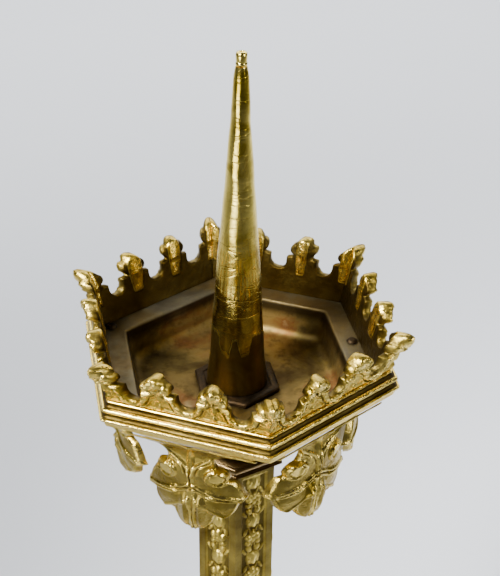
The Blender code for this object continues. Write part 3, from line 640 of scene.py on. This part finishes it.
def leaf_relief(flat, outline):
    """The leaf's whole relief, and the fine part of it."""
    s, z = np.abs(flat[:, 0]), flat[:, 1]
    half = np.stack([s, z], axis=1)
    edge = outline_distance(flat, outline)
    rib_width = 0.7 + 0.9 * np.exp(-(((z + 34) / 5) ** 2))
    rib = 0.9 * ramp(rib_width - s, 0, 0.5) * ramp(z, -50, -45) + ridge(s - rib_width, 0.45, 0.75)
    vein = smooth_path([(0.8, -27.2), (3.7, -29.0), (7.4, -30.8), (12.6, -32.3), (17.6, -33.8)])
    twin = smooth_path([(0.9, -29.4), (3.6, -31.0), (7.2, -32.6), (12.2, -33.9), (16.8, -34.6)])
    side_veins = ridge(line_distance(half, vein), 0.75, 0.95) + ridge(line_distance(half, twin), 0.75, 0.95)
    lower_vein = smooth_path([(1.1, -34), (5, -37.6), (11.2, -41.9)])
    veins = side_veins + ridge(line_distance(half, lower_vein), 0.6, 0.5)
    arm = smooth_path([(0.6, -22.6), (1.5, -19.4), (4.0, -16.9), (8.2, -13.8), (12.6, -10.4), (18.5, -8.9)])
    arm_twin = smooth_path([(2.4, -22.0), (3.2, -19.4), (5.4, -17.6), (9.4, -14.8)])
    arms = ridge(line_distance(half, arm), 0.7, 1.0) + ridge(line_distance(half, arm_twin), 0.5, 0.6)
    offset = half - LEAF_EYE
    radius = np.hypot(*offset.T)
    bearing = np.degrees(np.arctan2(offset[:, 1], offset[:, 0]))
    hooked = 0.35 + 0.65 * np.exp(-(((bearing - 105) / 62) ** 2))
    eye_rim = ridge(radius - 3.5, 0.8, 1.9) * hooked
    eye_disc = 1.1 * ramp(3.0 - radius, 0, 0.8)
    beside_rib = np.clip(1 - np.abs(s - 2.9) / 3.2, 0, 1)
    lobes = [
        dome(half, (11.6, -30.2), (7.6, 4.4), 1.2, -28),
        dome(half, (9.6, -37.6), (7.2, 4.6), 1.1, -42),
        dome(half, (4.2, -24), (4.2, 6.0), 0.9),
        2.1 * beside_rib * ramp(z, -51, -44) * (1 - ramp(z, -36, -31)),
    ]
    turned_edge = 0.4 * np.clip(1 - np.abs(edge - 0.5) / 0.5, 0, 1)
    fine = rib + veins + arms + eye_rim + eye_disc + turned_edge
    return np.max(lobes, axis=0) + fine - 0.8 * np.clip(1 - edge / 0.7, 0, 1) ** 2, fine


def make_leaf(number):
    right = leaf_half()
    left = [(-s, z) for s, z in reversed(right)]
    outline = [(LEAF_ARM, LEAF_TOP), *right, (0, LEAF_TIP), *left, (-LEAF_ARM, LEAF_TOP)]
    leaf = sawn_sheet("leaf", outline, LEAF_CELL)
    points = points_of(leaf)
    flat = points[:, :2]
    back = points[:, 2] < -0.5
    relief, fine = leaf_relief(flat, outline)
    s, z = flat.T
    down = (LEAF_TOP - z) / (LEAF_TOP - LEAF_TIP)
    lying = SOFFIT_TOP_APOTHEM - SOFFIT_SLOPE * (SOFFIT_TOP - z) + LEAF_GAP + LEAF_THICKNESS
    hanging = LEAF_REACH + LEAF_LEAN * (z + 30)
    turn_down = 0.8  # how softly the arms turn down into the leaf
    reach = np.logaddexp(lying / turn_down, hanging / turn_down) * turn_down
    reach -= LEAF_CURL * np.clip((down - 0.2) / 0.25, 0, 1) * (s / 18.05) ** 2
    reach -= 1.5 * np.clip(down - 0.7, 0, None) / 0.3
    on_soffit = ramp(z, -18, -10)
    reach += np.where(back, -LEAF_THICKNESS, relief * (1 - 0.5 * on_soffit) - 0.4 - 1.5 * on_soffit)
    along = s * LEAF_SPREAD + LEAF_SLIP * (1 - ramp(z, -16, -8))
    stand_up(leaf, FACES[number] + HEAD_TURN, reach, along, z * LEAF_STRETCH + LIP_Z)
    # The back is painted dark as patina and shade, and the fine relief in front is rubbed bright.
    set_wear_and_shade(leaf, np.where(back, 0.14, 0.2 + 0.5 * fine))
    smooth(leaf, 60)
    place(leaf, f"vine_leaf_{number + 1}", GILT_LEAF, f"leaf_{number + 1}", f"leaf_rivet_{number + 1}")


# --- Stems ---

ORNAMENT_PITCH = 20
FIELD = 5.2  # half the width of the chased field between a face's plain borders
FIELD_DEPTH = 1.2  # how far the field lies below the borders
STEM_CELL = 0.45
STEM_BORE = 0.8  # the bore's share of the stem's width


def stem_chasing(u, v):
    """Relief of the vine that climbs a stem's face: u across from the middle, v down from its top."""
    local = np.stack([u, (v + 3.0) % ORNAMENT_PITCH - ORNAMENT_PITCH / 2], axis=1)
    x, y = local.T
    mirrored = np.stack([np.abs(x), y], axis=1)
    grooves = 0.22 * np.cos(2.6 * x + 0.8 * np.sin(1.4 * y))
    boss = dome(local, (0, 0), (2.9, 3.7), 1.5)
    vine = ridge(np.abs(np.abs(x) - 1.5 - 1.2 * np.cos(2 * math.pi * y / ORNAMENT_PITCH)), 0.42, 0.55)
    parts = [
        boss + grooves * (boss > 0.4),
        dome(mirrored, (1.9, -5.4), (1.3, 1.9), 1.1, 25),
        dome(mirrored, (3.9, -4.2), (0.75, 2.0), 0.8, 32),
        dome(mirrored, (3.6, 5.4), (0.75, 2.1), 0.95, -30),
        dome(mirrored, (2.0, 8.7), (1.5, 1.9), 1.3, 20),
        dome(mirrored, (2.2, -8.6), (1.4, 1.5), 1.1, -20),
        dome(local, (0, 7.0), (1.5, 1.8), 1.3),
        dome(local, (0, -9.6), (1.3, 1.2), 1.0),
        dome(local, (0, 9.7), (1.3, 1.2), 1.0),
        vine,
    ]
    return np.max(parts, axis=0)


def make_stem(node):
    """A hexagonal tube with a chased vine up each face between plain borders."""
    low, high = (corner.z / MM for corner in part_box(node))
    length = high - low
    half = STEM * HALF_SIDE
    columns = [-half, -half + 1.2, -FIELD - 0.5, *np.linspace(-FIELD, FIELD, 25), FIELD + 0.5, half - 1.2]
    around = HEX * len(columns)
    deselect()
    bpy.ops.mesh.primitive_grid_add(x_subdivisions=around, y_subdivisions=int(length / STEM_CELL), size=1)
    tube = bpy.context.object
    points = points_of(tube)
    column = np.rint((points[:, 0] + 0.5) * around).astype(int) % around
    face, u = column // len(columns), np.array(columns)[column % len(columns)]
    v = (points[:, 1] + 0.5) * length
    away_from_ends = ramp(v, 3, 5) * ramp(length - v, 3, 5)
    relief = stem_chasing(u, length - v) * (np.abs(u) <= FIELD) * away_from_ends
    sunk = FIELD_DEPTH * ramp(FIELD + 0.3 - np.abs(u), 0, 0.5) * away_from_ends
    stand_up(tube, np.array(FACES)[face], STEM - sunk + relief, u, v + low)
    edit_all(tube)
    bpy.ops.mesh.remove_doubles(threshold=MERGE)
    bpy.ops.mesh.select_all(action="DESELECT")
    bpy.ops.mesh.select_non_manifold()
    bpy.ops.mesh.extrude_region_move()
    bpy.ops.transform.resize(value=(STEM_BORE, STEM_BORE, 1), center_override=(0, 0, 0))
    bpy.ops.mesh.bridge_edge_loops()
    bpy.ops.mesh.select_all(action="SELECT")
    bpy.ops.mesh.normals_make_consistent(inside=False)
    bpy.ops.object.mode_set(mode="OBJECT")
    x, y, _ = points_of(tube).T
    outwards = np.array([x * math.cos(a) + y * math.sin(a) for a in FACES]) / MM
    across = np.array([y * math.cos(a) - x * math.sin(a) for a in FACES]) / MM
    nearest = np.argmax(outwards, axis=0), np.arange(len(x))
    raised = outwards[nearest] - STEM
    chased = (np.abs(across[nearest]) < FIELD + 0.2) & (np.abs(raised) > 0.02)
    # The sunk field is painted dark with patina and shade, and the raised chasing rubbed bright.
    set_wear_and_shade(tube, np.where(chased, 0.1 + 0.6 * (raised + FIELD_DEPTH), 0.15))
    smooth(tube, 50)
    place(tube, f"{node}_chased", STEM_RELIEF, node)


# --- Hexagonal rings: rim, soffit and pan ---

SHARP, RIM_CORNER, ROUND = 200, 160, 9  # how a ring turns its corners


def hexagonal_ring(rows):
    """A closed ring of the head from rows of (apothem, height, corner), which run round its section."""
    share = np.sin(np.linspace(-1, 1, 17)[:-1] * math.pi / 2)
    bearings = np.concatenate([face + HEAD_TURN + np.arctan(share * HALF_SIDE) for face in FACES])
    deselect()
    bpy.ops.mesh.primitive_grid_add(x_subdivisions=len(bearings), y_subdivisions=len(rows), size=1)
    spike_shade = bpy.context.object
    points = points_of(spike_shade)
    column = np.rint((points[:, 0] + 0.5) * len(bearings)).astype(int) % len(bearings)
    row = np.rint((points[:, 1] + 0.5) * len(rows)).astype(int) % len(rows)
    apothem, height, corner = np.array(rows, dtype=float)[row].T
    bearing = bearings[column]
    facing = np.stack([np.clip(np.cos(bearing - face - HEAD_TURN), 0, None) for face in FACES])
    radius = apothem / np.sum(facing**corner, axis=0) ** (1 / corner)
    x, y = radius * np.cos(bearing), radius * np.sin(bearing)
    set_points(spike_shade, np.stack([x, y, height + LIP_Z], axis=1) * MM)
    edit_all(spike_shade)
    bpy.ops.mesh.remove_doubles(threshold=MERGE)
    bpy.ops.mesh.normals_make_consistent(inside=False)
    bpy.ops.object.mode_set(mode="OBJECT")
    return spike_shade


def make_rim():
    """The moulded band, from a section of (apothem, height, wear and painted shade), where 0 darkens a cove
    and 1 rubs a fillet or bead bright.
    """
    top = LIP - 3.4
    section = [
        (top, RIM_TOP, 0.6),
        (top + 0.45, RIM_TOP, 1.0),
        (top + 0.6, 5.45, 1.0),
        (top + 0.6, 5.0, 0.9),
        *[(a, z, 0.0) for a, z in arc(top + 1.7, 4.5, 1.2, 160, 262, 8)],
        (top + 1.75, 3.25, 0.7),
        *[(a, z, 1.0) for a, z in arc(top + 1.75, 2.35, 0.85, 82, -82, 9)],
        (top + 1.7, 1.35, 0.5),
        *[(a, z, 0.0) for a, z in arc(top + 2.9, 0.7, 1.35, 152, 255, 8)],
        (top + 3.25, -0.66, 0.8),
        (top + 3.4, -0.8, 1.0),
        (top + 3.4, -1.45, 1.0),
        (top + 3.2, -1.7, 0.9),
        (top + 2.5, -2.1, 0.4),
        (top + 1.5, -4.3, 0.4),
        (41.3, -4.4, 0.2),
        (41.3, -2.9, 0.2),
        (top, -2.9, 0.2),
        (top, 1.5, 0.2),
    ]
    rim = hexagonal_ring([(a, z, RIM_CORNER) for a, z, _ in section])
    points = points_of(rim)
    height = points[:, 2] / MM - LIP_Z
    bearing = np.arctan2(points[:, 1], points[:, 0])
    facing = np.max([np.cos(bearing - face - HEAD_TURN) for face in FACES], axis=0)
    apothem = np.hypot(points[:, 0], points[:, 1]) * facing / MM
    across, up, wear_and_shade = np.array(section).T
    nearest = np.argmin((apothem[:, None] - across) ** 2 + (height[:, None] - up) ** 2, axis=1)
    set_wear_and_shade(rim, wear_and_shade[nearest])
    smooth(rim, 40)
    place(rim, "rim_band", GILT_RIM, "rim_moulding")


def make_soffit():
    """The hammered underside, hexagonal at the rim and nearly round at its foot."""
    top = LIP - 1.0
    joint = 2.05  # how far below the lip it meets the rim
    rows = []
    for share in np.linspace(0, 1, 16):
        apothem = top + (SOFFIT_FOOT_APOTHEM - top) * share
        rows.append((apothem, -joint + (SOFFIT_FOOT + joint) * share, SHARP / (1 + 21 * share**1.3)))
    rows += [
        (SOFFIT_FOOT_APOTHEM - 0.5, SOFFIT_FOOT - 0.3, ROUND),
        (SOFFIT_FOOT_APOTHEM - 2, SOFFIT_FOOT - 0.3, ROUND),
        (SOFFIT_FOOT_APOTHEM - 2, SOFFIT_FOOT + 0.9, ROUND),
        (42.5, -9, 40),
        (top - 3, -4.7, SHARP),
        (top - 0.8, -4.5, SHARP),
    ]
    soffit = hexagonal_ring(rows)
    smooth(soffit, 40)
    place(soffit, "pan_soffit_shell", GILT_HAMMERED, "pan_soffit")


def make_pan():
    """A pressed pan: the ledge rolls into the recess, and the recess rolls into its floor."""
    low, high = box_rows("drip_pan")
    edge = LIP - 3.9
    wall_top, wall_foot, sheet, bore = 39.3, 37.6, 1.5, 4.8
    floor = low + sheet
    roll = arc(wall_foot - 3.6, floor + 3.6, 3.6, -88, -4, 6)
    brink = arc(wall_top + 0.8, high - 0.9, 0.9, 178, 92, 5)
    rows = [
        (edge, high, SHARP),
        (edge, high - sheet, SHARP),
        (wall_top + sheet, high - sheet, 90),
        (wall_foot + sheet, low + 3, 40),
        (wall_foot - 1, low, 30),
        (bore, low, SHARP),
        (bore, floor, SHARP),
        (wall_foot - 6, floor, 16),
        *[(a, z, 18 + 22 * step / 6) for step, (a, z) in enumerate(roll)],
        (wall_top - 0.4, high - 2, 70),
        *[(a, z, 90) for a, z in brink],
        (wall_top + 3, high, 150),
    ]
    pan = hexagonal_ring(rows)
    smooth(pan, 45)
    place(pan, "drip_pan_sheet", PAN, "drip_pan")


# --- The pricket ---

PRICKET_LEAN = 0.007  # the old spike no longer stands quite upright
PRICKET_PROFILE = (  # height and radius
    (-11.8, 11.4),
    (-11.0, 11.4),
    (-8, 10.9),
    (0, 10.1),
    (11, 9.5),
    (29, 8.45),
    (53, 6.66),
    (57, 6.3),
    (63, 5.9),
    (69, 5.3),
    (75, 4.95),
    (81, 4.4),
    (87, 4.0),
    (93, 3.5),
    (99, 3.3),
    (104, 2.95),
    (110, 2.6),
    (113, 1.95),
)


def turned_piece(profile, segments=72):
    """Turns a profile of (height, radius) in metres, ring by ring, and closes both ends."""
    deselect()
    height, radius = profile[0]
    bpy.ops.mesh.primitive_circle_add(
        vertices=segments, radius=radius, location=(0, 0, height), fill_type="NGON"
    )
    piece = bpy.context.object
    focus(piece)
    bpy.ops.object.transform_apply(location=True, rotation=True, scale=True)
    edit_all(piece)
    for next_height, next_radius in profile[1:]:
        bpy.ops.mesh.extrude_region_move(TRANSFORM_OT_translate={"value": (0, 0, next_height - height)})
        share = next_radius / radius
        bpy.ops.transform.resize(value=(share, share, 1), center_override=(0, 0, 0))
        height, radius = next_height, next_radius
    bpy.ops.mesh.select_all(action="SELECT")
    bpy.ops.mesh.normals_make_consistent(inside=False)
    bpy.ops.object.mode_set(mode="OBJECT")
    return piece


def make_pricket():
    heights, radii = np.array(PRICKET_PROFILE).T
    rows = [
        (LIP_HEIGHT + height * MM, np.interp(height, heights, radii) * MM)
        for height in np.linspace(heights[0], heights[-1], 70)
    ]
    rows[0] = (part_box("pricket")[0].z, rows[0][1])
    spike = turned_piece(rows)
    points = points_of(spike)
    rise = (points[:, 2] - LIP_HEIGHT) / MM
    bearing = np.arctan2(points[:, 1], points[:, 0])
    dent = 0.12 * np.sin(0.21 * rise + 1.3 * np.cos(bearing + 1)) * np.sin(bearing * 2 + 0.05 * rise)
    dent *= np.clip((110 - rise) / 20, 0, 1)
    radius = np.hypot(points[:, 0], points[:, 1])
    points[:, :2] *= (1 + dent * MM / np.maximum(radius, 1 * MM))[:, None]
    points[:, 0] += PRICKET_LEAN * rise * MM
    set_points(spike, points)
    smooth(spike, 50)
    place(spike, "pricket_spike", POLISH, "pricket")


def make_ferrule():
    low, high = (corner.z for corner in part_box("pricket_ferrule"))
    collar = [(0, 1.9), (0.35, 2.02), (0.8, 1.95), (1.0, 1.8), (1.3, 1.84)]
    crown = [(1.1, 1.96), (0.5, 1.84), (0.15, 1.5), (0.02, 1.1), (0.02, 0.8), (0.3, 0.62), (1.2, 0.5)]
    rows = [(low + up * MM, radius * MM) for up, radius in collar]
    rows += [(high - down * MM, radius * MM) for down, radius in crown]
    ferrule = turned_piece(rows, 40)
    points = points_of(ferrule)
    points[:, 0] += PRICKET_LEAN * (points[:, 2] - LIP_HEIGHT)
    set_points(ferrule, points)
    smooth(ferrule, 40)
    place(ferrule, "ferrule_cap", POLISH, "pricket_ferrule")


# --- The stage ---


def add_camera():
    """The camera looks down on the head from the front, 32 degrees above the horizon."""
    elevation, roll = 0.5588, 0.013
    distance, aside, above = 0.45967, 0.0045, 0.02361
    back = Vector((0, -math.cos(elevation), math.sin(elevation)))
    up = Vector((0, math.sin(elevation), math.cos(elevation)))
    right = Vector((1, 0, 0))
    spot = Vector((0, 0, LIP_HEIGHT)) + distance * back + aside * right + above * up
    data = bpy.data.cameras.new("camera")
    data.sensor_width = 36
    data.lens = 76.96
    camera = bpy.data.objects.new("camera", data)
    bpy.context.scene.collection.objects.link(camera)
    turn = Matrix((right, up, back)).transposed().to_4x4() @ Matrix.Rotation(roll, 4, "Z")
    camera.matrix_world = Matrix.Translation(spot) @ turn
    bpy.context.scene.camera = camera


def add_light(name, energy, size, spot, spot_on=(0, 0, LIP_HEIGHT), spread=180):
    """A soft box that faces the head, or another place."""
    data = bpy.data.lights.new(name, "AREA")
    data.energy = energy
    data.shape = "RECTANGLE"
    data.size, data.size_y = size
    data.spread = math.radians(spread)
    lamp = bpy.data.objects.new(name, data)
    lamp.location = spot
    lamp.rotation_euler = (Vector(spot_on) - lamp.location).to_track_quat("-Z", "Y").to_euler()
    bpy.context.scene.collection.objects.link(lamp)


def add_room():
    world = bpy.data.worlds.new("room")
    bpy.context.scene.world = world
    world.use_nodes = True
    tree = world.node_tree
    direction = add_node(tree, "ShaderNodeTexCoord").outputs["Generated"]
    shades = ((0.0, (0.30, 0.31, 0.33)), (0.12, (0.10, 0.10, 0.11)), (0.6, (0.03, 0.03, 0.03)))
    background = tree.nodes["Background"]
    tree.links.new(colour_ramp(tree, split(tree, direction)["Z"], shades), background.inputs["Color"])
    background.inputs["Strength"].default_value = 0.8
    deselect()
    bpy.ops.mesh.primitive_plane_add(size=40, location=(0, 0, 0))
    floor = bpy.context.object
    floor.name = "floor"
    floor.data.materials.append(pale_paint())


# --- Putting it together ---

for side_number in range(HEX):
    make_gallery_panel(side_number)
    make_leaf(side_number)
for stem_node in ("upper_stem", "lower_stem"):
    make_stem(stem_node)
make_pricket()
make_ferrule()
make_rim()
make_soffit()
make_pan()
filed_casting("seat_washer", IRON)
filed_casting("abacus", SATIN_BRONZE)
filed_casting("neck", IRON)
for plain in ("lower_collar", "knop_upper_ring", "knop_lower_ring", "knop"):
    filed_casting(plain, GILT_MOULDED)
for plain in ("base_plinth", "base_dome"):
    filed_casting(plain, STEM_PLAIN, 0.4 * MM)
for boss_number in range(1, HEX + 1):
    filed_casting(f"knop_boss_{boss_number}", GILT_MOULDED, 0.4 * MM)
    filed_casting(f"foot_{boss_number}", GILT_MOULDED, 0.5 * MM, 25, 3)
for screw_number in (1, 2, 3):
    filed_casting(f"pan_screw_{screw_number}", IRON, 0.15 * MM)
for hidden in ("closing_plate", "tie_washer", "tie_nut", "tie_rod", "pricket_bush"):
    frame["nodes"][hidden].data.materials.clear()
    frame["nodes"][hidden].data.materials.append(IRON)

add_camera()
add_light("key", energy=2.5, size=(0.36, 0.36), spot=(-0.6, -0.5, 1.1), spread=34)
add_light("fill", energy=0.45, size=(0.25, 0.5), spot=(0.8, -0.5, 0.7), spread=50)
add_light("low", energy=0.55, size=(0.75, 0.24), spot=(-0.62, -0.95, 0.14), spread=60)
add_light("overhead", energy=60, size=(2.6, 2.0), spot=(0, 1.5, 1.0), spot_on=(0, 1.5, 0))
add_room()
